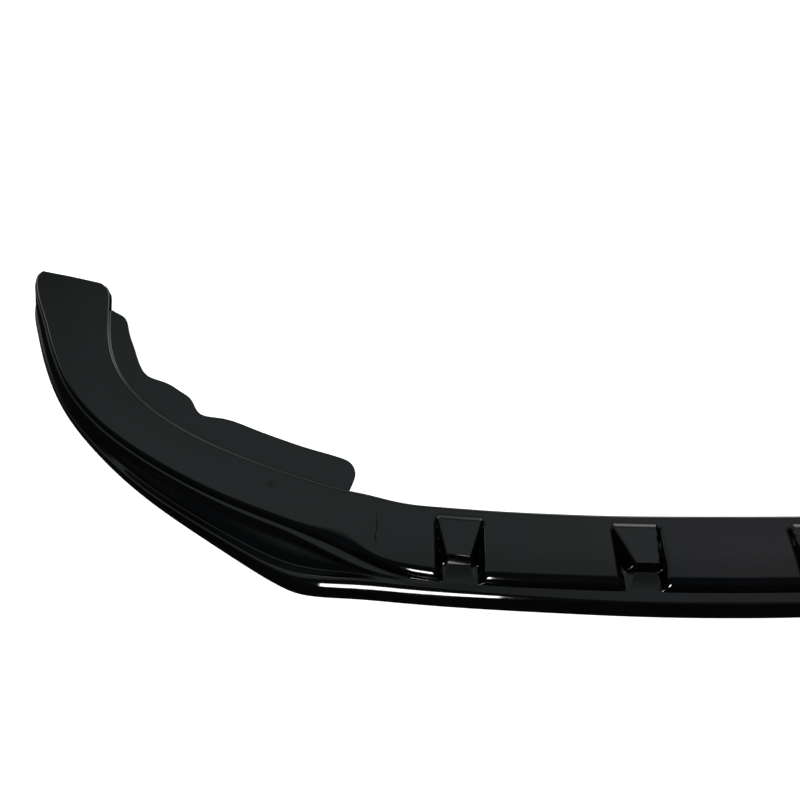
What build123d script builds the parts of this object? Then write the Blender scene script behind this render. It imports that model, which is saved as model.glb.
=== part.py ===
from build123d import *
import os
import math
import numpy as np

# Front lip for a car bumper: one vacuum-formed sheet of gloss ABS, open underneath.
# +X runs to the side, +Y towards the car, +Z up; the lower rim stands on Z = 0.
os.makedirs("parts", exist_ok=True)

# ---- driving dimensions (mm): sheet thickness, heights of the panel, flange and rear foot,
# half the depth, shelf height, then bays, teeth and ramps; SIDE is the rise over run of
# their flanks and CROWN the rise of the panel's middle ----
SHEET = 3.0
PLATEAU_Z = 38.0
FLANGE_Z = 33.0
REAR_FOOT_Z = 29.4
REAR_DRAFT = 1.2
Y_MID = 246.25
SHELF_Z = 22.0
# teeth: distance from the centre line, sideways lean of the nose and of the rear end
TEETH = ((95.4, -5.0, 1.9), (286.1, 1.7, -0.4))
BAY_HALF = 27.5
BAY_LEN = 57.5
TOOTH_NOSE, TOOTH_BACK = 14.8, 58.0
TOOTH_HALF = (12.3, 23.4)
TOOTH_TOP = (41.2, 40.2)
RAMP_FOOT = 12.8
RAMP_Z = 25.5
SIDE = 1.9
CROWN = 0.7
DROOP, DROOP_RUN = 1.1, 24.0

# stations along the left half: outer rim x, y; rear border x, y; distances of the seven
# section corners from the rim; heights of rim, channel front, channel rear and ridge
STATIONS = [
    (0.0, -0.5, 0.0, 100.8, 7.2, 11.3, 13.7, 15.8, 17.5, 19.0, 31.0, 21.0, 21.5, 21.7, 22.0),
    (-61.2, 0.1, -61.0, 100.9, 7.2, 10.6, 13.8, 15.5, 17.2, 18.8, 31.0, 21.0, 21.5, 21.7, 22.0),
    (-122.4, 2.0, -122.2, 101.7, 7.4, 9.1, 12.3, 14.6, 16.4, 18.4, 30.2, 21.0, 21.5, 21.7, 22.0),
    (-183.6, 5.0, -183.6, 104.1, 8.0, 9.0, 10.7, 13.4, 15.5, 17.8, 29.0, 21.0, 21.5, 21.7, 22.0),
    (-244.7, 8.4, -244.9, 107.6, 9.2, 10.2, 11.1, 13.3, 15.5, 17.4, 28.2, 21.0, 21.5, 21.7, 22.0),
    (-305.8, 12.6, -305.9, 112.7, 10.6, 11.6, 12.5, 14.4, 16.2, 18.1, 28.4, 21.0, 21.5, 21.7, 22.0),
    (-351.7, 16.6, -351.4, 118.7, 11.6, 12.6, 15.5, 17.4, 19.0, 22.1, 31.0, 21.3, 21.4, 21.7, 22.1),
    (-375.1, 18.9, -374.4, 124.9, 11.9, 13.1, 18.3, 20.2, 21.6, 28.2, 36.5, 21.5, 20.5, 21.1, 23.2),
    (-387.8, 20.0, -386.7, 128.4, 12.0, 13.4, 20.0, 22.8, 24.3, 32.8, 43.5, 21.5, 19.4, 20.6, 24.0),
    (-399.1, 20.8, -397.6, 131.1, 11.9, 13.7, 21.4, 26.2, 27.8, 37.6, 52.5, 21.5, 17.9, 20.0, 24.7),
    (-410.2, 21.5, -408.2, 133.5, 11.8, 14.0, 22.7, 30.2, 32.0, 42.5, 61.0, 21.3, 16.1, 19.3, 25.3),
    (-423.7, 22.3, -420.5, 136.6, 11.5, 14.4, 24.1, 35.4, 37.6, 48.0, 64.5, 21.1, 14.0, 18.6, 26.0),
    (-458.0, 26.7, -451.3, 146.7, 10.5, 14.9, 26.3, 46.7, 49.9, 57.6, 66.0, 20.0, 10.2, 17.5, 27.5),
    (-480.1, 35.6, -474.6, 154.9, 9.5, 13.3, 24.9, 48.2, 52.1, 58.3, 64.7, 19.0, 8.6, 17.0, 28.0),
    (-500.9, 47.3, -496.2, 163.2, 8.5, 11.3, 22.6, 45.4, 49.4, 55.4, 61.4, 17.9, 7.6, 16.6, 28.3),
    (-533.8, 67.9, -529.3, 176.9, 7.3, 9.6, 19.7, 39.3, 43.2, 48.6, 54.5, 16.4, 6.6, 16.0, 28.6),
    (-570.5, 91.7, -564.5, 193.3, 6.2, 8.3, 17.1, 33.6, 37.3, 41.7, 47.7, 14.8, 6.2, 16.0, 29.0),
    (-609.6, 117.6, -600.1, 212.5, 5.1, 7.2, 15.1, 29.0, 32.5, 36.1, 42.3, 13.4, 6.4, 16.5, 29.3),
    (-643.2, 141.4, -629.6, 231.2, 4.2, 6.4, 13.4, 24.9, 28.6, 31.8, 38.0, 12.3, 7.4, 17.2, 29.6),
    (-674.6, 166.0, -656.0, 251.0, 3.6, 5.9, 11.6, 20.7, 24.4, 27.3, 33.3, 11.3, 9.6, 18.6, 30.0),
    (-704.6, 192.2, -678.6, 271.4, 3.2, 5.4, 10.0, 16.9, 20.1, 23.0, 28.8, 10.3, 12.5, 21.0, 30.2),
    (-729.9, 216.5, -694.6, 288.9, 3.0, 5.0, 8.8, 14.5, 17.0, 19.7, 25.3, 9.6, 15.1, 23.4, 30.4),
    (-754.0, 241.7, -707.0, 305.4, 2.9, 4.6, 8.2, 13.2, 15.5, 17.9, 23.3, 9.1, 16.7, 25.2, 30.5),
    (-776.3, 268.3, -716.8, 321.4, 2.9, 4.4, 8.0, 13.0, 15.1, 17.2, 22.5, 8.6, 18.0, 26.5, 30.6),
    (-795.4, 295.0, -724.2, 336.2, 2.9, 4.4, 8.1, 13.4, 15.6, 17.6, 22.8, 8.3, 18.8, 27.3, 30.7),
    (-814.6, 326.7, -730.8, 352.6, 3.0, 4.6, 8.5, 14.4, 16.7, 18.6, 23.8, 8.1, 19.2, 27.7, 30.8),
    (-833.1, 362.2, -736.4, 370.2, 3.1, 4.9, 9.2, 15.5, 18.0, 19.9, 25.2, 8.1, 19.3, 27.8, 30.9),
    (-851.0, 401.4, -741.5, 390.6, 3.1, 5.2, 9.7, 16.2, 18.8, 20.7, 26.2, 8.2, 19.2, 27.7, 31.1),
    (-866.0, 438.5, -746.4, 413.3, 3.0, 5.3, 8.6, 13.6, 16.0, 17.8, 23.3, 8.3, 19.1, 27.7, 31.1),
    (-872.5, 467.2, -751.4, 436.2, 2.6, 3.8, 5.4, 8.4, 10.4, 12.0, 17.2, 8.4, 19.2, 27.6, 30.8),
    (-874.9, 479.5, -754.2, 446.8, 2.4, 3.5, 5.0, 7.6, 9.5, 11.0, 16.2, 8.4, 19.2, 27.6, 30.8),
    (-874.0, 487.2, -759.2, 456.8, 2.3, 3.3, 4.8, 7.2, 9.0, 10.5, 15.7, 8.4, 19.2, 27.6, 30.8),
    (-870.2, 493.0, -768.0, 464.6, 2.2, 3.2, 4.6, 6.9, 8.7, 10.2, 15.4, 8.4, 19.2, 27.6, 30.8),
]
ALONG = [0.0, 61.2, 122.4, 183.6, 244.9, 306.3, 352.5, 376.0, 388.7, 400.0,
         411.0, 423.9, 456.4, 481.5, 505.0, 542.1, 582.8, 626.2, 664.6, 701.7, 737.4, 766.8, 793.9, 819.9, 844.2, 871.5, 901.0, 933.4, 965.0, 991.4, 1003.0, 1010.5, 1016.5]
FLANGE_EDGE = [(-744.1, 418.2), (-736.1, 413.0), (-724.7, 405.0), (-714.5, 383.6),
               (-699.6, 350.7), (-684.9, 320.4), (-670.6, 303.1), (-654.3, 295.9),
               (-638.0, 287.8), (-626.8, 279.6), (-611.5, 267.4), (-596.2, 244.9),
               (-569.7, 237.8), (-531.9, 223.5), (-494.2, 207.2), (-457.5, 192.9),
               (-421.8, 180.7), (-410.6, 174.6), (-405.5, 167.4), (-403.4, 158.3),
               (-406.1, 146.2)]
FLANGE_FROM, FLANGE_TO = 413.0, 967.0


def natural(t, v):
    n = len(t)
    h = np.diff(t)
    a = np.zeros((n, n))
    b = np.zeros((n,) + v.shape[1:])
    a[0, 0] = a[-1, -1] = 1.0
    for i in range(1, n - 1):
        a[i, i - 1], a[i, i], a[i, i + 1] = h[i - 1], 2 * (h[i - 1] + h[i]), h[i]
        b[i] = 6 * ((v[i + 1] - v[i]) / h[i] - (v[i] - v[i - 1]) / h[i - 1])
    return np.linalg.solve(a, b)


def spline(t, v, m, s):
    i = np.clip(np.searchsorted(t, s) - 1, 0, len(t) - 2)
    h = (t[i + 1] - t[i])[:, None]
    a = (t[i + 1] - s)[:, None] / h
    b = (s - t[i])[:, None] / h
    return (a * v[i] + b * v[i + 1]
            + ((a ** 3 - a) * m[i] + (b ** 3 - b) * m[i + 1]) * h * h / 6)


T = np.array([-x for x in ALONG[::-1][:-1]] + ALONG)
LEFT = np.array(STATIONS)
RIGHT = LEFT[::-1][:-1].copy()
RIGHT[:, 0] *= -1
RIGHT[:, 2] *= -1
TAB = np.vstack([RIGHT, LEFT])
TAB2 = natural(T, TAB)


def sections(s):
    """Origin, direction and the ten section corners (distance, height) of every column."""
    q = spline(T, TAB, TAB2, s)
    a, b = q[:, 0:2], q[:, 2:4]
    length = np.hypot(*(b - a).T)
    e = (b - a) / length[:, None]
    p = np.zeros((len(s), 10, 2))
    p[:, 1:8, 0] = q[:, 4:11]
    p[:, 8, 0] = length
    p[:, 9, 0] = length + REAR_DRAFT
    p[:, 1:3, 1] = q[:, 11:12]
    p[:, 3, 1] = q[:, 12]
    p[:, 4, 1] = q[:, 13]
    p[:, 5:7, 1] = q[:, 14:15]
    p[:, 7:9, 1] = PLATEAU_Z
    p[:, 9, 1] = REAR_FOOT_Z
    return a, e, p


def smin(a, b, k):
    h = np.maximum(k - np.abs(a - b), 0.0) / k
    return np.minimum(a, b) - h * h * k * 0.25


def smax(a, b, k):
    return -smin(-a, -b, k)


def drop(e):
    """Depth of a bay's side at the distance e inside its edge: a roll, then a straight flank."""
    q = np.clip((e + 3.0) / 6.5, 0, 0.8995)
    return 6.0 * (1 - np.sqrt(1 - q * q)) + SIDE * np.maximum(e - 2.85, 0)


def bay_height(x, dist, base, foot):
    """Height of the sheet with the bays and teeth formed into it."""
    out = base.copy()
    y = dist - foot - 8.4
    for xc, lean_nose, lean_back in TEETH:
        ax = np.abs(x) - xc
        f = np.clip((y - TOOTH_NOSE) / (TOOTH_BACK - TOOTH_NOSE), 0, 1)
        u = np.abs(ax - (lean_nose + (lean_back - lean_nose) * f))
        on = (np.abs(ax) < BAY_HALF + 8) & (y > -8.4) & (y < BAY_LEN + 12)
        depth = np.minimum(drop(BAY_HALF - np.abs(ax)), drop(BAY_LEN - y))
        rec = base - depth * np.clip((base - SHELF_Z) / (PLATEAU_Z - SHELF_Z), 0, 1)
        rec = np.maximum(rec, np.minimum(base, SHELF_Z + 0.08 * np.maximum(y + 8.4, 0)))
        top = TOOTH_TOP[0] + f * (TOOTH_TOP[1] - TOOTH_TOP[0])
        wid = TOOTH_HALF[0] + f * (TOOTH_HALF[1] - TOOTH_HALF[0])
        tooth = smin(top, top - SIDE * (u - wid), 1.4)
        tooth = smin(tooth, TOOTH_TOP[1] - 0.42 * (y - TOOTH_BACK), 1.0)
        tooth = smin(tooth, TOOTH_TOP[0] - 6.0 * (TOOTH_NOSE - y), 1.6)
        g = np.clip((RAMP_FOOT - y) / (RAMP_FOOT + 8.4), 0, 1)
        ramp = RAMP_Z + g * (SHELF_Z - 0.8 - RAMP_Z)
        wide = 12.4 + 7.2 * g
        ramp = smin(ramp, ramp - SIDE * (u - wide), 1.2)
        z = smax(smax(rec, tooth, 1.0), ramp, 0.8)
        out = np.where(on, np.maximum(z, SHELF_Z), out)
    return out


def columns():
    s = [0.0]
    for xc, _, _ in TEETH:
        a, b = xc - BAY_HALF - 8, xc + BAY_HALF + 8
        n = max(2, round((a - s[-1]) / 13.0))
        s += list(s[-1] + (a - s[-1]) * (np.arange(n) + 1) / n)
        s += list(a + (b - a) * (np.arange(28) + 1) / 28)
    n = round((ALONG[-1] - s[-1]) / 9.0)
    s += list(s[-1] + (ALONG[-1] - s[-1]) * (np.arange(n) + 1) / n)
    return np.array([-v for v in s[::-1][:-1]] + s)


def bend(p0, pc, p2, m):
    return [(1 - t) ** 2 * p0 + 2 * t * (1 - t) * pc + t * t * p2 for t in np.linspace(0, 1, m)]


def towards(a, b, most, part):
    """Point on the way from a to b, at most so many mm and so large a part of the way."""
    l = np.hypot(*(b - a).T)[:, None]
    return a + (b - a) / l * np.minimum(most, part * l)


PANEL = [0.03, 0.07, 0.10, 0.115, 0.13, 0.145, 0.16, 0.175, 0.19, 0.22, 0.27, 0.33, 0.40, 0.47, 0.54, 0.60,
         0.65, 0.69, 0.73, 0.77, 0.81, 0.86, 0.92, 0.97]


def droop(s, d, p):
    """How far the panel's front edge and the roll below it sink, in the middle part."""
    d6, d7 = p[:, 6, 0:1], p[:, 7, 0:1]
    back = DROOP * np.clip(1 - (d - d7) / DROOP_RUN, 0, 1) ** 2
    front = (DROOP + 2 * DROOP / DROOP_RUN * (d7 - d)) * np.clip((d - d6) / (d7 - d6), 0, 1)
    return np.where(d < d7, front, back) * np.clip((400 - np.abs(s)) / 60, 0, 1)[:, None]


def nose_at(p, t):
    """Rounded nose of the splitter, from its foot (t = 0) up to the rim."""
    c, w = max(math.cos(t), 0.0) ** 1.35, math.sin(t) ** 1.35
    return np.stack([0.5 + (p[:, 1, 0] - 0.5) * (1 - c), 2.5 + (p[:, 1, 1] - 2.5) * w], 1)


def outer_grid(s):
    a, e, p = sections(s)
    f = [p[:, i] for i in range(10)]
    rows = [f[0]]
    for t in np.radians(np.linspace(0, 90, 7)):
        rows.append(nose_at(p, t))
    # rim, channel with its forward-sloping floor, and ridge
    run = f[4][:, 0] - f[3][:, 0]
    mean = (f[4][:, 1] - f[3][:, 1]) / run
    flat = np.clip(mean / 0.12, 0, 1) * np.clip((run - 5) / 6, 0, 1)
    lo = mean + (np.tan(np.arctan(mean) - math.radians(10)) - mean) * flat
    hi = mean + (np.tan(np.arctan(mean) + math.radians(14)) - mean) * flat
    bent = hi - lo > 1e-6
    cut = np.where(bent, (mean - lo) * run / np.where(bent, hi - lo, 1.0), run / 2)
    fc = np.stack([f[3][:, 0] + cut, f[3][:, 1] + hi * cut], 1)

    def floor_at(t):
        return (1 - t) ** 2 * f[3] + 2 * t * (1 - t) * fc + t * t * f[4]

    def roll_at(t):
        return np.stack([p[:, 6, 0] + (p[:, 7, 0] - p[:, 6, 0]) * (1 - math.cos(t)),
                         p[:, 6, 1] + (PLATEAU_Z - p[:, 6, 1]) * math.sin(t)], 1)

    rows += bend(towards(f[2], f[1], 1.6, 0.45), f[2], towards(f[2], f[3], 2.0, 0.3), 3)
    rows += bend(towards(f[3], f[2], 4.0, 0.35), f[3], floor_at(0.12), 3)
    rows += [floor_at(t) for t in np.linspace(0.12, 0.86, 5)[1:-1]]
    rows += bend(floor_at(0.86), f[4], towards(f[4], f[5], 2.0, 0.3), 3)
    rows += bend(towards(f[5], f[4], 1.8, 0.3), f[5], towards(f[5], f[6], 2.5, 0.42), 3)
    rows += bend(towards(f[6], f[5], 0.5, 0.42), f[6], roll_at(math.radians(4)), 3)
    rows += [roll_at(t) for t in np.radians(np.linspace(4, 90, 9))[1:]]
    end = towards(f[8], f[7], 5.0, 0.4)
    rows += [f[7] + (end - f[7]) * t for t in PANEL]
    rows += bend(end, f[8], towards(f[8], f[9], 2.6, 0.4), 3)
    rows.append(f[9])
    r = np.stack(rows, 1)
    d, z = r[:, :, 0], r[:, :, 1].copy()
    # one even slope across the lip shelf in the middle
    even = np.clip((350 - np.abs(s)) / 40, 0, 1)[:, None]
    d1, z1, d6, z6 = p[:, 1, 0:1], p[:, 1, 1:2], p[:, 6, 0:1], p[:, 6, 1:2]
    line = z1 + (z6 - z1) * (d - d1) / (d6 - d1)
    z = np.where((d > d1) & (d < d6), z + (line - z) * even, z)
    # a slight crown on the broad panel
    t = np.clip((d - p[:, 7, 0:1]) / (p[:, 8, 0:1] - p[:, 7, 0:1]), 0, 1)
    z += CROWN * np.sin(math.pi * t) ** 2 - droop(s, d, p)
    x = a[:, 0:1] + e[:, 0:1] * d
    y = a[:, 1:2] + e[:, 1:2] * d
    mid = np.abs(s) < 335
    z[mid, 1:-1] = bay_height(x[mid, 1:-1], d[mid, 1:-1], z[mid, 1:-1], p[mid, 6, 0:1])
    return np.stack([x, y - Y_MID, z], 2)


def inner_grid(s):
    a, e, p = sections(s)
    c, w = 1 - math.cos(math.radians(50)), math.sin(math.radians(50))
    nose = nose_at(p, math.radians(50))
    roll = np.stack([p[:, 6, 0] + (p[:, 7, 0] - p[:, 6, 0]) * c,
                     p[:, 6, 1] + (PLATEAU_Z - p[:, 6, 1]) * w], 1)
    v = np.stack([p[:, 0], nose, p[:, 1], p[:, 3], p[:, 4], p[:, 5], p[:, 6], roll, p[:, 7],
                  p[:, 8], p[:, 9]], 1)
    dv = v[:, 1:] - v[:, :-1]
    n = np.stack([dv[:, :, 1], -dv[:, :, 0]], 2) / np.hypot(dv[:, :, 0], dv[:, :, 1])[:, :, None]
    q = [np.stack([SHEET / n[:, 0, 0], np.zeros(len(s))], 1)]
    for i in range(1, 10):
        k = SHEET / (1 + (n[:, i - 1] * n[:, i]).sum(1))
        q.append(v[:, i] + (n[:, i - 1] + n[:, i]) * k[:, None])
    q.append(np.stack([v[:, 10, 0] + SHEET / n[:, 9, 0], v[:, 10, 1]], 1))
    rows = q[:7] + [(q[6] + q[7]) / 2, q[7], (q[7] + q[8]) / 2, q[8]]
    rows += [q[8] + (q[9] - q[8]) * t for t in PANEL]
    rows += q[9:]
    r = np.stack(rows, 1)
    d, z = r[:, :, 0], r[:, :, 1].copy()
    x = a[:, 0:1] + e[:, 0:1] * d
    y = a[:, 1:2] + e[:, 1:2] * d
    mid = np.abs(s) < 335
    vm, foot = v[mid], p[mid, 6, 0:1]
    delta = None
    for ox, oy in ((0, 0), (2.6, 0), (-2.6, 0), (0, 2.6), (0, -2.6),
                   (1.9, 1.9), (-1.9, 1.9), (1.9, -1.9), (-1.9, -1.9)):
        dd = d[mid, 1:-1] + oy
        base = np.stack([np.interp(dd[i], vm[i, :, 0], vm[i, :, 1]) for i in range(len(vm))])
        h = bay_height(x[mid, 1:-1] + ox, dd, base, foot) - base
        delta = h if delta is None else np.minimum(delta, h)
    z[mid, 1:-1] += delta
    z -= droop(s, d, p)
    return np.stack([x, y - Y_MID, z], 2)


S = columns()
outer = [[Vector(*map(float, p)) for p in c] for c in outer_grid(S)]
inner = [[Vector(*map(float, p)) for p in c] for c in inner_grid(S)]
outer_edges = [Spline(*[c[r] for c in outer]).edges()[0] for r in range(len(outer[0]))]
inner_edges = [Spline(*[c[r] for c in inner]).edges()[0] for r in range(len(inner[0]))]

faces = []
for group in (outer_edges, inner_edges):
    for a, b in zip(group[:-1], group[1:]):
        faces.append(Face.make_surface_from_curves(a, b))
# turned-down rear border: its lower trimmed edge
faces.append(Face.make_surface_from_curves(outer_edges[-1], inner_edges[-1]))
# lower rim: one flat face on Z = 0
oe, ie = outer_edges[0], inner_edges[0]
faces.append(Face(Wire([oe, Edge.make_line(oe @ 1, ie @ 1), ie,
                        Edge.make_line(ie @ 0, oe @ 0)])))
# trimmed wing ends
for k in (0, -1):
    faces.append(Face(Wire.make_polygon(outer[k] + inner[k][::-1], close=True)))

skin = Solid(Shell(faces))
if skin.volume < 0:
    skin = Solid(Shell([-f for f in faces]))


def flange(side):
    a, e, p = sections(np.linspace(FLANGE_FROM, FLANGE_TO, 41))
    line = a + e * (p[:, 8, 0:1] - 1.4)
    border = [Vector(side * float(x), float(y) - Y_MID) for x, y in line]
    free = [Vector(side * x, y - Y_MID) for x, y in FLANGE_EDGE]
    a, b = Spline(*border).edges()[0], Spline(*free).edges()[0]
    loop = Wire([a, Edge.make_line(border[-1], free[0]), b, Edge.make_line(free[-1], border[0])])
    plate = Solid.extrude(Face(loop), Vector(0, 0, SHEET))
    return plate.moved(Location((0, 0, FLANGE_Z - SHEET)))


lip = skin.fuse(flange(1), flange(-1))
if isinstance(lip, (list, ShapeList)):
    lip = lip[0]
lip = lip.solids()[0] if len(lip.solids()) == 1 else lip
lip.label = "front_lip"
print("valid", lip.is_valid, "solids", len(lip.solids()), "volume cm3", lip.volume / 1000,
      lip.bounding_box())
export_step(lip, "parts/front_lip.step")
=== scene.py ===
import math
import bpy
import numpy as np
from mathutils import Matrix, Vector


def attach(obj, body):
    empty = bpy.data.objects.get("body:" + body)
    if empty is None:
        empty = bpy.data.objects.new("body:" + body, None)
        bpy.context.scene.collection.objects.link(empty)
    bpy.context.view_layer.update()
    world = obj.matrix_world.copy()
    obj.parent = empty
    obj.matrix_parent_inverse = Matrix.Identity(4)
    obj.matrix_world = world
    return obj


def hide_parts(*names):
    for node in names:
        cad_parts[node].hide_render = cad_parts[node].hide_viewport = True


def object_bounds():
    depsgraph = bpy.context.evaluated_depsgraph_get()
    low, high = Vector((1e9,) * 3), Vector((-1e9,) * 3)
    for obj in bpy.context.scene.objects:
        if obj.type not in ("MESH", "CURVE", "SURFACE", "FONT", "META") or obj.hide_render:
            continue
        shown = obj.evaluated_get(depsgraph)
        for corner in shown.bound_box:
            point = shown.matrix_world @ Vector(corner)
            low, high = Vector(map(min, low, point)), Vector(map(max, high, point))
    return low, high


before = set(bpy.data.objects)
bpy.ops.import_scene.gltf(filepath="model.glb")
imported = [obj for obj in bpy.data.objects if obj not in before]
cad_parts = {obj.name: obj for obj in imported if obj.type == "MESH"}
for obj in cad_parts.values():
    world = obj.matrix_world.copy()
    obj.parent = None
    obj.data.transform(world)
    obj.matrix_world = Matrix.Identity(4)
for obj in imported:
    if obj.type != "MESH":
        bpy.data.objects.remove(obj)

cad_box = [list(map(float, c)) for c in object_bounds()]

# ------------------------------------------------------------------ dimensions (mm)
SHEET = 3.0
PLATEAU_Z = 38.0
FLANGE_Z = 33.0
REAR_FOOT_Z = 29.4
REAR_DRAFT = 1.2
Y_MID = 246.25
SHELF_Z = 22.0
# teeth: distance from the centre line, sideways lean of the nose and of the rear end
TEETH = ((95.4, -5.0, 1.9), (286.1, 1.7, -0.4))
BAY_HALF = 27.5
BAY_LEN = 57.5
TOOTH_NOSE, TOOTH_BACK = 14.8, 58.0
TOOTH_HALF = (12.3, 23.4)
TOOTH_TOP = (41.2, 40.2)
RAMP_FOOT = 12.8
RAMP_Z = 25.5
SIDE = 1.9
CROWN = 0.7
DROOP, DROOP_RUN = 1.1, 24.0

# stations along the left half: outer rim x, y; rear border x, y; distances of the seven
# section corners from the rim; heights of rim, channel front, channel rear and ridge
STATIONS = [
    (0.0, -0.5, 0.0, 100.8, 7.2, 11.3, 13.7, 15.8, 17.5, 19.0, 31.0, 21.0, 21.5, 21.7, 22.0),
    (-61.2, 0.1, -61.0, 100.9, 7.2, 10.6, 13.8, 15.5, 17.2, 18.8, 31.0, 21.0, 21.5, 21.7, 22.0),
    (-122.4, 2.0, -122.2, 101.7, 7.4, 9.1, 12.3, 14.6, 16.4, 18.4, 30.2, 21.0, 21.5, 21.7, 22.0),
    (-183.6, 5.0, -183.6, 104.1, 8.0, 9.0, 10.7, 13.4, 15.5, 17.8, 29.0, 21.0, 21.5, 21.7, 22.0),
    (-244.7, 8.4, -244.9, 107.6, 9.2, 10.2, 11.1, 13.3, 15.5, 17.4, 28.2, 21.0, 21.5, 21.7, 22.0),
    (-305.8, 12.6, -305.9, 112.7, 10.6, 11.6, 12.5, 14.4, 16.2, 18.1, 28.4, 21.0, 21.5, 21.7, 22.0),
    (-351.7, 16.6, -351.4, 118.7, 11.6, 12.6, 15.5, 17.4, 19.0, 22.1, 31.0, 21.3, 21.4, 21.7, 22.1),
    (-375.1, 18.9, -374.4, 124.9, 11.9, 13.1, 18.3, 20.2, 21.6, 28.2, 36.5, 21.5, 20.5, 21.1, 23.2),
    (-387.8, 20.0, -386.7, 128.4, 12.0, 13.4, 20.0, 22.8, 24.3, 32.8, 43.5, 21.5, 19.4, 20.6, 24.0),
    (-399.1, 20.8, -397.6, 131.1, 11.9, 13.7, 21.4, 26.2, 27.8, 37.6, 52.5, 21.5, 17.9, 20.0, 24.7),
    (-410.2, 21.5, -408.2, 133.5, 11.8, 14.0, 22.7, 30.2, 32.0, 42.5, 61.0, 21.3, 16.1, 19.3, 25.3),
    (-423.7, 22.3, -420.5, 136.6, 11.5, 14.4, 24.1, 35.4, 37.6, 48.0, 64.5, 21.1, 14.0, 18.6, 26.0),
    (-458.0, 26.7, -451.3, 146.7, 10.5, 14.9, 26.3, 46.7, 49.9, 57.6, 66.0, 20.0, 10.2, 17.5, 27.5),
    (-480.1, 35.6, -474.6, 154.9, 9.5, 13.3, 24.9, 48.2, 52.1, 58.3, 64.7, 19.0, 8.6, 17.0, 28.0),
    (-500.9, 47.3, -496.2, 163.2, 8.5, 11.3, 22.6, 45.4, 49.4, 55.4, 61.4, 17.9, 7.6, 16.6, 28.3),
    (-533.8, 67.9, -529.3, 176.9, 7.3, 9.6, 19.7, 39.3, 43.2, 48.6, 54.5, 16.4, 6.6, 16.0, 28.6),
    (-570.5, 91.7, -564.5, 193.3, 6.2, 8.3, 17.1, 33.6, 37.3, 41.7, 47.7, 14.8, 6.2, 16.0, 29.0),
    (-609.6, 117.6, -600.1, 212.5, 5.1, 7.2, 15.1, 29.0, 32.5, 36.1, 42.3, 13.4, 6.4, 16.5, 29.3),
    (-643.2, 141.4, -629.6, 231.2, 4.2, 6.4, 13.4, 24.9, 28.6, 31.8, 38.0, 12.3, 7.4, 17.2, 29.6),
    (-674.6, 166.0, -656.0, 251.0, 3.6, 5.9, 11.6, 20.7, 24.4, 27.3, 33.3, 11.3, 9.6, 18.6, 30.0),
    (-704.6, 192.2, -678.6, 271.4, 3.2, 5.4, 10.0, 16.9, 20.1, 23.0, 28.8, 10.3, 12.5, 21.0, 30.2),
    (-729.9, 216.5, -694.6, 288.9, 3.0, 5.0, 8.8, 14.5, 17.0, 19.7, 25.3, 9.6, 15.1, 23.4, 30.4),
    (-754.0, 241.7, -707.0, 305.4, 2.9, 4.6, 8.2, 13.2, 15.5, 17.9, 23.3, 9.1, 16.7, 25.2, 30.5),
    (-776.3, 268.3, -716.8, 321.4, 2.9, 4.4, 8.0, 13.0, 15.1, 17.2, 22.5, 8.6, 18.0, 26.5, 30.6),
    (-795.4, 295.0, -724.2, 336.2, 2.9, 4.4, 8.1, 13.4, 15.6, 17.6, 22.8, 8.3, 18.8, 27.3, 30.7),
    (-814.6, 326.7, -730.8, 352.6, 3.0, 4.6, 8.5, 14.4, 16.7, 18.6, 23.8, 8.1, 19.2, 27.7, 30.8),
    (-833.1, 362.2, -736.4, 370.2, 3.1, 4.9, 9.2, 15.5, 18.0, 19.9, 25.2, 8.1, 19.3, 27.8, 30.9),
    (-851.0, 401.4, -741.5, 390.6, 3.1, 5.2, 9.7, 16.2, 18.8, 20.7, 26.2, 8.2, 19.2, 27.7, 31.1),
    (-866.0, 438.5, -746.4, 413.3, 3.0, 5.3, 8.6, 13.6, 16.0, 17.8, 23.3, 8.3, 19.1, 27.7, 31.1),
    (-872.5, 467.2, -751.4, 436.2, 2.6, 3.8, 5.4, 8.4, 10.4, 12.0, 17.2, 8.4, 19.2, 27.6, 30.8),
    (-874.9, 479.5, -754.2, 446.8, 2.4, 3.5, 5.0, 7.6, 9.5, 11.0, 16.2, 8.4, 19.2, 27.6, 30.8),
    (-874.0, 487.2, -759.2, 456.8, 2.3, 3.3, 4.8, 7.2, 9.0, 10.5, 15.7, 8.4, 19.2, 27.6, 30.8),
    (-870.2, 493.0, -768.0, 464.6, 2.2, 3.2, 4.6, 6.9, 8.7, 10.2, 15.4, 8.4, 19.2, 27.6, 30.8),
]
ALONG = [0.0, 61.2, 122.4, 183.6, 244.9, 306.3, 352.5, 376.0, 388.7, 400.0,
         411.0, 423.9, 456.4, 481.5, 505.0, 542.1, 582.8, 626.2, 664.6, 701.7, 737.4, 766.8, 793.9, 819.9, 844.2, 871.5, 901.0, 933.4, 965.0, 991.4, 1003.0, 1010.5, 1016.5]
FLANGE_EDGE = [(-744.1, 418.2), (-736.1, 413.0), (-724.7, 405.0), (-714.5, 383.6),
               (-699.6, 350.7), (-684.9, 320.4), (-670.6, 303.1), (-654.3, 295.9),
               (-638.0, 287.8), (-626.8, 279.6), (-611.5, 267.4), (-596.2, 244.9),
               (-569.7, 237.8), (-531.9, 223.5), (-494.2, 207.2), (-457.5, 192.9),
               (-421.8, 180.7), (-410.6, 174.6), (-405.5, 167.4), (-403.4, 158.3),
               (-406.1, 146.2)]
FLANGE_FROM, FLANGE_TO = 413.0, 967.0


# ------------------------------------------------------------------ curves
def natural(t, v):
    n = len(t)
    h = np.diff(t)
    a = np.zeros((n, n))
    b = np.zeros((n,) + v.shape[1:])
    a[0, 0] = a[-1, -1] = 1.0
    for i in range(1, n - 1):
        a[i, i - 1], a[i, i], a[i, i + 1] = h[i - 1], 2 * (h[i - 1] + h[i]), h[i]
        b[i] = 6 * ((v[i + 1] - v[i]) / h[i] - (v[i] - v[i - 1]) / h[i - 1])
    return np.linalg.solve(a, b)


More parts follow.
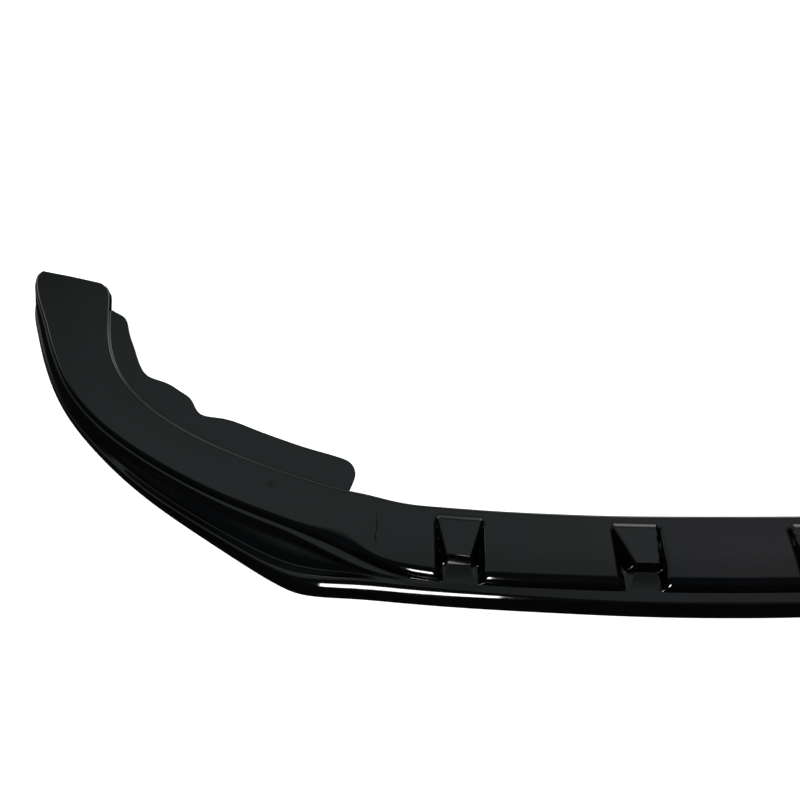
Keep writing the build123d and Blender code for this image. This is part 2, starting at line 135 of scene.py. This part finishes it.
def spline(t, v, m, s):
    i = np.clip(np.searchsorted(t, s) - 1, 0, len(t) - 2)
    h = (t[i + 1] - t[i])[:, None]
    a = (t[i + 1] - s)[:, None] / h
    b = (s - t[i])[:, None] / h
    return (a * v[i] + b * v[i + 1]
            + ((a ** 3 - a) * m[i] + (b ** 3 - b) * m[i + 1]) * h * h / 6)


T = np.array([-x for x in ALONG[::-1][:-1]] + ALONG)
LEFT = np.array(STATIONS)
RIGHT = LEFT[::-1][:-1].copy()
RIGHT[:, 0] *= -1
RIGHT[:, 2] *= -1
TAB = np.vstack([RIGHT, LEFT])
TAB2 = natural(T, TAB)


def sections(s):
    """Origin, direction and the ten section corners (distance, height) of every column."""
    q = spline(T, TAB, TAB2, s)
    a, b = q[:, 0:2], q[:, 2:4]
    length = np.hypot(*(b - a).T)
    e = (b - a) / length[:, None]
    p = np.zeros((len(s), 10, 2))
    p[:, 1:8, 0] = q[:, 4:11]
    p[:, 8, 0] = length
    p[:, 9, 0] = length + REAR_DRAFT
    p[:, 1:3, 1] = q[:, 11:12]
    p[:, 3, 1] = q[:, 12]
    p[:, 4, 1] = q[:, 13]
    p[:, 5:7, 1] = q[:, 14:15]
    p[:, 7:9, 1] = PLATEAU_Z
    p[:, 9, 1] = REAR_FOOT_Z
    return a, e, p


def smin(a, b, k):
    h = np.maximum(k - np.abs(a - b), 0.0) / k
    return np.minimum(a, b) - h * h * k * 0.25


def smax(a, b, k):
    return -smin(-a, -b, k)


def drop(e):
    """Depth of a bay's side at the distance e inside its edge: a roll, then a straight flank."""
    q = np.clip((e + 3.0) / 6.5, 0, 0.8995)
    return 6.0 * (1 - np.sqrt(1 - q * q)) + SIDE * np.maximum(e - 2.85, 0)


def bay_height(x, dist, base, foot):
    """Height of the sheet with the bays and teeth formed into it."""
    out = base.copy()
    y = dist - foot - 8.4
    for xc, lean_nose, lean_back in TEETH:
        ax = np.abs(x) - xc
        f = np.clip((y - TOOTH_NOSE) / (TOOTH_BACK - TOOTH_NOSE), 0, 1)
        u = np.abs(ax - (lean_nose + (lean_back - lean_nose) * f))
        on = (np.abs(ax) < BAY_HALF + 8) & (y > -8.4) & (y < BAY_LEN + 12)
        depth = np.minimum(drop(BAY_HALF - np.abs(ax)), drop(BAY_LEN - y))
        rec = base - depth * np.clip((base - SHELF_Z) / (PLATEAU_Z - SHELF_Z), 0, 1)
        rec = np.maximum(rec, np.minimum(base, SHELF_Z + 0.08 * np.maximum(y + 8.4, 0)))
        top = TOOTH_TOP[0] + f * (TOOTH_TOP[1] - TOOTH_TOP[0])
        wid = TOOTH_HALF[0] + f * (TOOTH_HALF[1] - TOOTH_HALF[0])
        tooth = smin(top, top - SIDE * (u - wid), 1.4)
        tooth = smin(tooth, TOOTH_TOP[1] - 0.42 * (y - TOOTH_BACK), 1.0)
        tooth = smin(tooth, TOOTH_TOP[0] - 6.0 * (TOOTH_NOSE - y), 1.6)
        g = np.clip((RAMP_FOOT - y) / (RAMP_FOOT + 8.4), 0, 1)
        ramp = RAMP_Z + g * (SHELF_Z - 0.8 - RAMP_Z)
        wide = 12.4 + 7.2 * g
        ramp = smin(ramp, ramp - SIDE * (u - wide), 1.2)
        z = smax(smax(rec, tooth, 1.0), ramp, 0.8)
        out = np.where(on, np.maximum(z, SHELF_Z), out)
    return out


# ------------------------------------------------------------------ the formed skin
def columns():
    s = [0.0]
    for xc, _, _ in TEETH:
        a, b = xc - BAY_HALF - 8, xc + BAY_HALF + 8
        n = max(2, round((a - s[-1]) / 6.5))
        s += list(s[-1] + (a - s[-1]) * (np.arange(n) + 1) / n)
        s += list(a + (b - a) * (np.arange(56) + 1) / 56)
    n = round((ALONG[-1] - s[-1]) / 5.2)
    s += list(s[-1] + (ALONG[-1] - s[-1]) * (np.arange(n) + 1) / n)
    return np.array([-v for v in s[::-1][:-1]] + s)


def bend(p0, pc, p2, m):
    return [(1 - t) ** 2 * p0 + 2 * t * (1 - t) * pc + t * t * p2 for t in np.linspace(0, 1, m)]


def towards(a, b, most, part):
    """Point on the way from a to b, at most so many mm and so large a part of the way."""
    l = np.hypot(*(b - a).T)[:, None]
    return a + (b - a) / l * np.minimum(most, part * l)


PANEL = np.concatenate([np.linspace(0.02, 0.09, 4), np.linspace(0.10, 0.20, 15),
                        np.linspace(0.22, 0.72, 20), np.linspace(0.74, 0.91, 9),
                        np.linspace(0.93, 0.985, 3)])


def droop(s, d, p):
    """How far the panel's front edge and the roll below it sink, in the middle part."""
    d6, d7 = p[:, 6, 0:1], p[:, 7, 0:1]
    back = DROOP * np.clip(1 - (d - d7) / DROOP_RUN, 0, 1) ** 2
    front = (DROOP + 2 * DROOP / DROOP_RUN * (d7 - d)) * np.clip((d - d6) / (d7 - d6), 0, 1)
    return np.where(d < d7, front, back) * np.clip((400 - np.abs(s)) / 60, 0, 1)[:, None]


def nose_at(p, t):
    """Rounded nose of the splitter, from its foot (t = 0) up to the rim."""
    c, w = max(math.cos(t), 0.0) ** 1.35, math.sin(t) ** 1.35
    return np.stack([0.5 + (p[:, 1, 0] - 0.5) * (1 - c), 2.5 + (p[:, 1, 1] - 2.5) * w], 1)


def outer_grid(s):
    a, e, p = sections(s)
    f = [p[:, i] for i in range(10)]
    rows = [f[0]]
    for t in np.radians(np.linspace(0, 90, 13)):
        rows.append(nose_at(p, t))
    # rim, channel with its forward-sloping floor, and ridge
    run = f[4][:, 0] - f[3][:, 0]
    mean = (f[4][:, 1] - f[3][:, 1]) / run
    flat = np.clip(mean / 0.12, 0, 1) * np.clip((run - 5) / 6, 0, 1)
    lo = mean + (np.tan(np.arctan(mean) - math.radians(10)) - mean) * flat
    hi = mean + (np.tan(np.arctan(mean) + math.radians(14)) - mean) * flat
    bent = hi - lo > 1e-6
    cut = np.where(bent, (mean - lo) * run / np.where(bent, hi - lo, 1.0), run / 2)
    fc = np.stack([f[3][:, 0] + cut, f[3][:, 1] + hi * cut], 1)

    def floor_at(t):
        return (1 - t) ** 2 * f[3] + 2 * t * (1 - t) * fc + t * t * f[4]

    def roll_at(t):
        return np.stack([p[:, 6, 0] + (p[:, 7, 0] - p[:, 6, 0]) * (1 - math.cos(t)),
                         p[:, 6, 1] + (PLATEAU_Z - p[:, 6, 1]) * math.sin(t)], 1)

    rows += bend(towards(f[2], f[1], 1.6, 0.45), f[2], towards(f[2], f[3], 2.0, 0.3), 5)
    rows += bend(towards(f[3], f[2], 4.0, 0.35), f[3], floor_at(0.12), 6)
    rows += [floor_at(t) for t in np.linspace(0.12, 0.86, 12)[1:-1]]
    rows += bend(floor_at(0.86), f[4], towards(f[4], f[5], 2.0, 0.3), 6)
    rows += bend(towards(f[5], f[4], 1.8, 0.3), f[5], towards(f[5], f[6], 2.5, 0.42), 6)
    rows += bend(towards(f[6], f[5], 0.5, 0.42), f[6], roll_at(math.radians(4)), 5)
    rows += [roll_at(t) for t in np.radians(np.linspace(4, 90, 17))[1:]]
    end = towards(f[8], f[7], 5.0, 0.4)
    rows += [f[7] + (end - f[7]) * t for t in PANEL]
    rows += bend(end, f[8], towards(f[8], f[9], 2.6, 0.4), 7)
    rows += [f[8] + (f[9] - f[8]) * 0.7, f[9]]
    r = np.stack(rows, 1)
    d, z = r[:, :, 0], r[:, :, 1].copy()
    # one even slope across the lip shelf in the middle
    even = np.clip((350 - np.abs(s)) / 40, 0, 1)[:, None]
    d1, z1, d6, z6 = p[:, 1, 0:1], p[:, 1, 1:2], p[:, 6, 0:1], p[:, 6, 1:2]
    line = z1 + (z6 - z1) * (d - d1) / (d6 - d1)
    z = np.where((d > d1) & (d < d6), z + (line - z) * even, z)
    # a slight crown on the broad panel
    t = np.clip((d - p[:, 7, 0:1]) / (p[:, 8, 0:1] - p[:, 7, 0:1]), 0, 1)
    z += CROWN * np.sin(math.pi * t) ** 2 - droop(s, d, p)
    x = a[:, 0:1] + e[:, 0:1] * d
    y = a[:, 1:2] + e[:, 1:2] * d
    mid = np.abs(s) < 335
    z[mid, 1:-3] = bay_height(x[mid, 1:-3], d[mid, 1:-3], z[mid, 1:-3], p[mid, 6, 0:1])
    return np.stack([x, y - Y_MID, z], 2)


def inner_grid(s):
    a, e, p = sections(s)
    c, w = 1 - math.cos(math.radians(50)), math.sin(math.radians(50))
    nose = nose_at(p, math.radians(50))
    roll = np.stack([p[:, 6, 0] + (p[:, 7, 0] - p[:, 6, 0]) * c,
                     p[:, 6, 1] + (PLATEAU_Z - p[:, 6, 1]) * w], 1)
    v = np.stack([p[:, 0], nose, p[:, 1], p[:, 3], p[:, 4], p[:, 5], p[:, 6], roll, p[:, 7],
                  p[:, 8], p[:, 9]], 1)
    dv = v[:, 1:] - v[:, :-1]
    n = np.stack([dv[:, :, 1], -dv[:, :, 0]], 2) / np.hypot(dv[:, :, 0], dv[:, :, 1])[:, :, None]
    q = [np.stack([SHEET / n[:, 0, 0], np.zeros(len(s))], 1)]
    for i in range(1, 10):
        k = SHEET / (1 + (n[:, i - 1] * n[:, i]).sum(1))
        q.append(v[:, i] + (n[:, i - 1] + n[:, i]) * k[:, None])
    q.append(np.stack([v[:, 10, 0] + SHEET / n[:, 9, 0], v[:, 10, 1]], 1))
    rows = q[:7] + [(q[6] + q[7]) / 2, q[7], (q[7] + q[8]) / 2, q[8]]
    rows += [q[8] + (q[9] - q[8]) * t for t in np.linspace(0, 1, 30)[1:-1]]
    rows += q[9:]
    r = np.stack(rows, 1)
    d, z = r[:, :, 0], r[:, :, 1].copy()
    x = a[:, 0:1] + e[:, 0:1] * d
    y = a[:, 1:2] + e[:, 1:2] * d
    mid = np.abs(s) < 335
    vm, foot = v[mid], p[mid, 6, 0:1]
    delta = None
    for ox, oy in ((0, 0), (2.6, 0), (-2.6, 0), (0, 2.6), (0, -2.6),
                   (1.9, 1.9), (-1.9, 1.9), (1.9, -1.9), (-1.9, -1.9)):
        dd = d[mid, 1:-1] + oy
        base = np.stack([np.interp(dd[i], vm[i, :, 0], vm[i, :, 1]) for i in range(len(vm))])
        h = bay_height(x[mid, 1:-1] + ox, dd, base, foot) - base
        delta = h if delta is None else np.minimum(delta, h)
    z[mid, 1:-1] += delta
    z -= droop(s, d, p)
    return np.stack([x, y - Y_MID, z], 2)


def quads(idx, flip=False):
    a, b = idx[:-1, :-1].ravel(), idx[1:, :-1].ravel()
    c, d = idx[1:, 1:].ravel(), idx[:-1, 1:].ravel()
    q = np.stack([a, b, c, d], 1)
    return q[:, ::-1].tolist() if flip else q.tolist()


S = columns()
G = outer_grid(S)
H = inner_grid(S)
nc, nr, ni = G.shape[0], G.shape[1], H.shape[1]
verts = np.concatenate([G.reshape(-1, 3), H.reshape(-1, 3)])
gi = np.arange(nc * nr).reshape(nc, nr)
hi = nc * nr + np.arange(nc * ni).reshape(nc, ni)
faces = quads(gi, True) + quads(hi)
faces += quads(np.stack([hi[:, 0], gi[:, 0]], 1), True)
faces += quads(np.stack([gi[:, -1], hi[:, -1]], 1), True)
faces.append(list(hi[0, :]) + list(gi[0, ::-1]))
faces.append(list(hi[-1, ::-1]) + list(gi[-1, :]))


# ------------------------------------------------------------------ fixing flanges
def resample(pts, n):
    pts = np.asarray(pts, float)
    t = np.concatenate([[0], np.cumsum(np.hypot(*np.diff(pts, axis=0).T))])
    m = natural(t, pts)
    fine = np.linspace(0, t[-1], 1200)
    q = spline(t, pts, m, fine)
    l = np.concatenate([[0], np.cumsum(np.hypot(*np.diff(q, axis=0).T))])
    g = np.linspace(0, l[-1], n)
    return np.stack([np.interp(g, l, q[:, 0]), np.interp(g, l, q[:, 1])], 1)


def flange(side):
    n = 130
    s = np.linspace(FLANGE_FROM, FLANGE_TO, n)
    a, e, p = sections(s)
    wall = a + e * (p[:, 8, 0:1] + 0.2)
    free = resample(FLANGE_EDGE[::-1], n)
    run = free - wall
    w = np.hypot(*run.T)[:, None]
    run = run / w
    prof = []
    for d, dz in ((0.0, 2.6), (0.3, 1.7), (0.7, 1.0), (1.3, 0.45), (2.1, 0.12), (3.0, 0.0)):
        prof.append((wall + run * d, dz))
    for f in (0.15, 0.3, 0.45, 0.6, 0.75, 0.9):
        prof.append((wall + run * (3.0 + (w - 4.2) * f), 0.0))
    for d, dz in ((0.7, 0.0), (0.32, -0.06), (0.1, -0.24), (0.0, -0.55), (0.0, -2.5), (0.25, -3.0)):
        prof.append((wall + run * (w - d), dz))
    prof.append((wall, -3.0))
    g = np.stack([np.concatenate([q, np.full((n, 1), FLANGE_Z + dz)], 1) for q, dz in prof], 1)
    g[:, :, 1] -= Y_MID
    g[:, :, 0] *= side
    return g


base = len(verts)
groups = [verts]
for side in (1, -1):
    g = flange(side)
    n, m = g.shape[0], g.shape[1]
    idx = base + np.arange(n * m).reshape(n, m)
    faces += quads(np.concatenate([idx, idx[:, :1]], 1), side > 0)
    ends = [list(idx[0, :]), list(idx[-1, ::-1])]
    faces += [f[::-1] for f in ends] if side > 0 else ends
    groups.append(g.reshape(-1, 3))
    base += n * m
verts = np.clip(np.concatenate(groups) / 1000.0, cad_box[0], cad_box[1])

me = bpy.data.meshes.new("front_lip_skin")
me.from_pydata(verts.tolist(), [], [[int(i) for i in f] for f in faces])
me.validate()
me.update()
lip = bpy.data.objects.new("front_lip_skin", me)
bpy.context.scene.collection.objects.link(lip)
me.shade_smooth()
me.set_sharp_from_angle(angle=math.radians(40))


# ------------------------------------------------------------------ gloss-black ABS
def abs_material():
    mat = bpy.data.materials.new("gloss_black_abs")
    mat.use_nodes = True
    nt = mat.node_tree
    N, L = nt.nodes, nt.links
    bsdf = N["Principled BSDF"]
    bsdf.inputs["IOR"].default_value = 1.5
    co = N.new("ShaderNodeTexCoord")
    # pigment: almost even black, with a faint cloudiness from forming
    cloud = N.new("ShaderNodeTexNoise")
    cloud.inputs["Scale"].default_value = 9.0
    cloud.inputs["Detail"].default_value = 3.0
    L.new(co.outputs["Object"], cloud.inputs["Vector"])
    pig = N.new("ShaderNodeValToRGB")
    pig.color_ramp.elements[0].position = 0.3
    pig.color_ramp.elements[0].color = (0.0005, 0.0005, 0.0006, 1)
    pig.color_ramp.elements[1].position = 0.75
    pig.color_ramp.elements[1].color = (0.0010, 0.0010, 0.0011, 1)
    L.new(cloud.outputs["Fac"], pig.inputs["Fac"])
    # specks of dust
    dust = N.new("ShaderNodeTexVoronoi")
    dust.inputs["Scale"].default_value = 60.0
    L.new(co.outputs["Object"], dust.inputs["Vector"])
    near = N.new("ShaderNodeMapRange")
    near.inputs["From Min"].default_value = 0.02
    near.inputs["From Max"].default_value = 0.045
    near.inputs["To Min"].default_value = 1.0
    near.inputs["To Max"].default_value = 0.0
    L.new(dust.outputs["Distance"], near.inputs["Value"])
    pick = N.new("ShaderNodeSeparateColor")
    L.new(dust.outputs["Color"], pick.inputs["Color"])
    few = N.new("ShaderNodeMath")
    few.operation = "GREATER_THAN"
    few.inputs[1].default_value = 0.985
    L.new(pick.outputs["Red"], few.inputs[0])
    amt = N.new("ShaderNodeMath")
    amt.operation = "MULTIPLY"
    L.new(near.outputs["Result"], amt.inputs[0])
    L.new(few.outputs[0], amt.inputs[1])
    soft = N.new("ShaderNodeMath")
    soft.operation = "MULTIPLY"
    soft.inputs[1].default_value = 0.3
    L.new(amt.outputs[0], soft.inputs[0])
    mix = N.new("ShaderNodeMix")
    mix.data_type = "RGBA"
    L.new(soft.outputs[0], mix.inputs["Factor"])
    L.new(pig.outputs["Color"], mix.inputs[6])
    mix.inputs[7].default_value = (0.09, 0.09, 0.088, 1)
    L.new(mix.outputs[2], bsdf.inputs["Base Color"])
    # worn marks on the left part of the panel: a thin wavering crack and a rubbed spot
    place = N.new("ShaderNodeSeparateXYZ")
    L.new(co.outputs["Object"], place.inputs["Vector"])
    waver = N.new("ShaderNodeTexNoise")
    waver.inputs["Scale"].default_value = 120.0
    waver.inputs["Detail"].default_value = 2.0
    L.new(co.outputs["Object"], waver.inputs["Vector"])
    line = N.new("ShaderNodeMath")
    line.operation = "MULTIPLY_ADD"
    line.inputs[1].default_value = 0.009
    L.new(waver.outputs["Fac"], line.inputs[0])
    L.new(place.outputs["X"], line.inputs[2])

    def ramp(src, a, b, c, d):
        n = N.new("ShaderNodeMapRange")
        n.inputs["From Min"].default_value = a
        n.inputs["From Max"].default_value = b
        n.inputs["To Min"].default_value = c
        n.inputs["To Max"].default_value = d
        L.new(src, n.inputs["Value"])
        return n.outputs["Result"]

    def calc(kind, a, b):
        n = N.new("ShaderNodeMath")
        n.operation = kind
        L.new(a, n.inputs[0])
        if isinstance(b, float):
            n.inputs[1].default_value = b
        else:
            L.new(b, n.inputs[1])
        return n.outputs[0]

    off = calc("ABSOLUTE", calc("ADD", line.outputs[0], 0.3709), 0.0)
    crack = calc("MULTIPLY", ramp(off, 0.0003, 0.0012, 1.0, 0.0),
                 calc("MULTIPLY", ramp(place.outputs["Y"], -0.181, -0.174, 0.0, 1.0),
                      ramp(place.outputs["Y"], -0.150, -0.140, 1.0, 0.0)))
    spot = N.new("ShaderNodeVectorMath")
    spot.operation = "DISTANCE"
    spot.inputs[1].default_value = (-0.4978, -0.1060, 0.038)
    L.new(co.outputs["Object"], spot.inputs[0])
    rub = calc("MULTIPLY", ramp(spot.outputs["Value"], 0.001, 0.0085, 1.0, 0.0),
               ramp(waver.outputs["Fac"], 0.40, 0.60, 0.0, 0.6))
    mark = calc("MAXIMUM", crack, rub)
    L.new(ramp(mark, 0.0, 1.0, 0.5, 0.16), bsdf.inputs["Specular IOR Level"])
    # gloss varies a little where the sheet was wiped
    wipe = N.new("ShaderNodeTexNoise")
    wipe.inputs["Scale"].default_value = 26.0
    wipe.inputs["Detail"].default_value = 5.0
    L.new(co.outputs["Object"], wipe.inputs["Vector"])
    rough = N.new("ShaderNodeMapRange")
    rough.inputs["From Min"].default_value = 0.3
    rough.inputs["From Max"].default_value = 0.7
    rough.inputs["To Min"].default_value = 0.05
    rough.inputs["To Max"].default_value = 0.09
    L.new(wipe.outputs["Fac"], rough.inputs["Value"])
    L.new(calc("MAXIMUM", rough.outputs["Result"], ramp(mark, 0.0, 1.0, 0.0, 0.4)),
          bsdf.inputs["Roughness"])
    # orange peel and slow waviness of the formed sheet
    peel = N.new("ShaderNodeTexNoise")
    peel.inputs["Scale"].default_value = 210.0
    peel.inputs["Detail"].default_value = 2.0
    L.new(co.outputs["Object"], peel.inputs["Vector"])
    wave = N.new("ShaderNodeTexNoise")
    wave.inputs["Scale"].default_value = 38.0
    wave.inputs["Detail"].default_value = 1.0
    L.new(co.outputs["Object"], wave.inputs["Vector"])
    b1 = N.new("ShaderNodeBump")
    b1.inputs["Strength"].default_value = 0.03
    b1.inputs["Distance"].default_value = 0.0003
    L.new(peel.outputs["Fac"], b1.inputs["Height"])
    b2 = N.new("ShaderNodeBump")
    b2.inputs["Strength"].default_value = 0.06
    b2.inputs["Distance"].default_value = 0.0012
    L.new(wave.outputs["Fac"], b2.inputs["Height"])
    L.new(b1.outputs["Normal"], b2.inputs["Normal"])
    L.new(b2.outputs["Normal"], bsdf.inputs["Normal"])
    return mat


me.materials.append(abs_material())
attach(lip, "root")
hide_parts("front_lip")

# ------------------------------------------------------------------ floor, light, camera
floor_mesh = bpy.data.meshes.new("floor")
floor_mesh.from_pydata([(-9, -9, 0), (9, -9, 0), (9, 9, 0), (-9, 9, 0)], [], [(0, 1, 2, 3)])
floor = bpy.data.objects.new("floor", floor_mesh)
bpy.context.scene.collection.objects.link(floor)
fm = bpy.data.materials.new("pale_floor")
fm.use_nodes = True
fb = fm.node_tree.nodes["Principled BSDF"]
fb.inputs["Base Color"].default_value = (0.9, 0.9, 0.9, 1)
fb.inputs["Roughness"].default_value = 0.9
fb.inputs["Specular IOR Level"].default_value = 0.1
fb.inputs["Emission Color"].default_value = (1, 1, 1, 1)
fb.inputs["Emission Strength"].default_value = 0.72
floor_mesh.materials.append(fm)
floor.visible_glossy = False

# pale wall all round, so that every side is seen against a light studio
turn = [2 * math.pi * i / 96 for i in range(96)]
ring = [(9.0 * math.cos(a), 9.0 * math.sin(a), z) for z in (-0.02, 9.0) for a in turn]
wall_mesh = bpy.data.meshes.new("backdrop")
wall_mesh.from_pydata(ring, [], [(i, i + 96, (i + 1) % 96 + 96, (i + 1) % 96) for i in range(96)])
wall_mesh.shade_smooth()
backdrop = bpy.data.objects.new("backdrop", wall_mesh)
bpy.context.scene.collection.objects.link(backdrop)
wm = bpy.data.materials.new("pale_wall")
wm.use_nodes = True
wb = wm.node_tree.nodes["Principled BSDF"]
wb.inputs["Base Color"].default_value = (0.9, 0.9, 0.9, 1)
wb.inputs["Roughness"].default_value = 0.9
wb.inputs["Emission Color"].default_value = (1, 1, 1, 1)
wb.inputs["Emission Strength"].default_value = 0.85
wall_mesh.materials.append(wm)
backdrop.visible_glossy = False
backdrop.visible_diffuse = False
backdrop.visible_shadow = False

world = bpy.data.worlds.new("studio")
bpy.context.scene.world = world
world.use_nodes = True
wn, wl = world.node_tree.nodes, world.node_tree.links
bg = wn["Background"]
tc = wn.new("ShaderNodeTexCoord")
sep = wn.new("ShaderNodeSeparateXYZ")
wl.new(tc.outputs["Generated"], sep.inputs["Vector"])


def step(axis, lo, hi, a=0.0, b=1.0):
    n = wn.new("ShaderNodeMapRange")
    n.interpolation_type = "SMOOTHSTEP"
    n.inputs["From Min"].default_value = lo
    n.inputs["From Max"].default_value = hi
    n.inputs["To Min"].default_value = a
    n.inputs["To Max"].default_value = b
    wl.new(sep.outputs[axis], n.inputs["Value"])
    return n.outputs["Result"]


def times(a, b):
    n = wn.new("ShaderNodeMath")
    n.operation = "MULTIPLY"
    wl.new(a, n.inputs[0])
    wl.new(b, n.inputs[1])
    return n.outputs[0]


def tinted(level, colour):
    n = wn.new("ShaderNodeVectorMath")
    n.operation = "SCALE"
    n.inputs[0].default_value = colour
    wl.new(level, n.inputs["Scale"])
    return n.outputs["Vector"]


def added(a, b):
    n = wn.new("ShaderNodeVectorMath")
    n.operation = "ADD"
    wl.new(a, n.inputs[0])
    wl.new(b, n.inputs[1])
    return n.outputs["Vector"]


# overhead bank behind the object, brighter rear wall, dim walls, dark below
bank = times(step("Y", -0.22, 0.46), step("Z", 0.46, 0.85, 0.0, 0.42))
rear = times(times(step("Y", 0.10, 0.45), step("Z", 0.02, 0.15)),
             times(step("Z", 0.42, 0.60, 1.0, 0.0),
                   times(step("X", 0.45, 0.60, 1.0, 0.0), step("X", 0.02, 0.30, 0.6, 2.4))))
rear_left = times(times(step("Y", 0.30, 0.60), step("Z", 0.0, 0.12)),
                  times(step("Z", 0.42, 0.60, 1.0, 0.0), step("X", -0.16, -0.04, 1.3, 0.0)))
dim = step("Z", -0.05, 0.40, 0.010, 0.048)
light = added(added(added(tinted(times(bank, step("X", 0.08, 0.38, 1.0, 0.0)), (0.90, 1.02, 1.01)),
                          tinted(times(bank, step("X", 0.08, 0.38, 0.0, 1.12)), (1.0, 1.0, 1.06))), tinted(rear, (1.0, 1.0, 0.98))),
              tinted(rear_left, (0.97, 1.0, 0.98)))
light = added(light,
              tinted(dim, (0.85, 1.0, 1.1)))
wl.new(light, bg.inputs["Color"])
bg.inputs["Strength"].default_value = 1.0


def area(name, loc, target, size, power, glossy=True):
    d = bpy.data.lights.new(name, "AREA")
    d.shape = "RECTANGLE"
    d.size, d.size_y = size
    d.energy = power
    o = bpy.data.objects.new(name, d)
    bpy.context.scene.collection.objects.link(o)
    o.location = loc
    o.rotation_euler = (Vector(target) - Vector(loc)).to_track_quat("-Z", "Y").to_euler()
    o.visible_glossy = glossy
    return o


area("top_wash", (0, 0.3, 3.2), (0, 0.1, 0), (3.6, 3.0), 60.0, glossy=False)
area("front_strip", (-0.66, -2.4, 0.44), (-0.40, -0.2, 0.03), (0.74, 0.70), 50.0)

cam = bpy.data.cameras.new("camera")
cam.sensor_width = 36.0
cam.lens = 36.0
cam.shift_x = -0.0375
camera = bpy.data.objects.new("camera", cam)
bpy.context.scene.collection.objects.link(camera)
camera.location = (-0.3182, -0.3374 - Y_MID / 1000.0, 0.8043)
camera.rotation_euler = (math.radians(38.0), 0, 0)
bpy.context.scene.camera = camera
bpy.context.scene.view_settings.view_transform = "Standard"
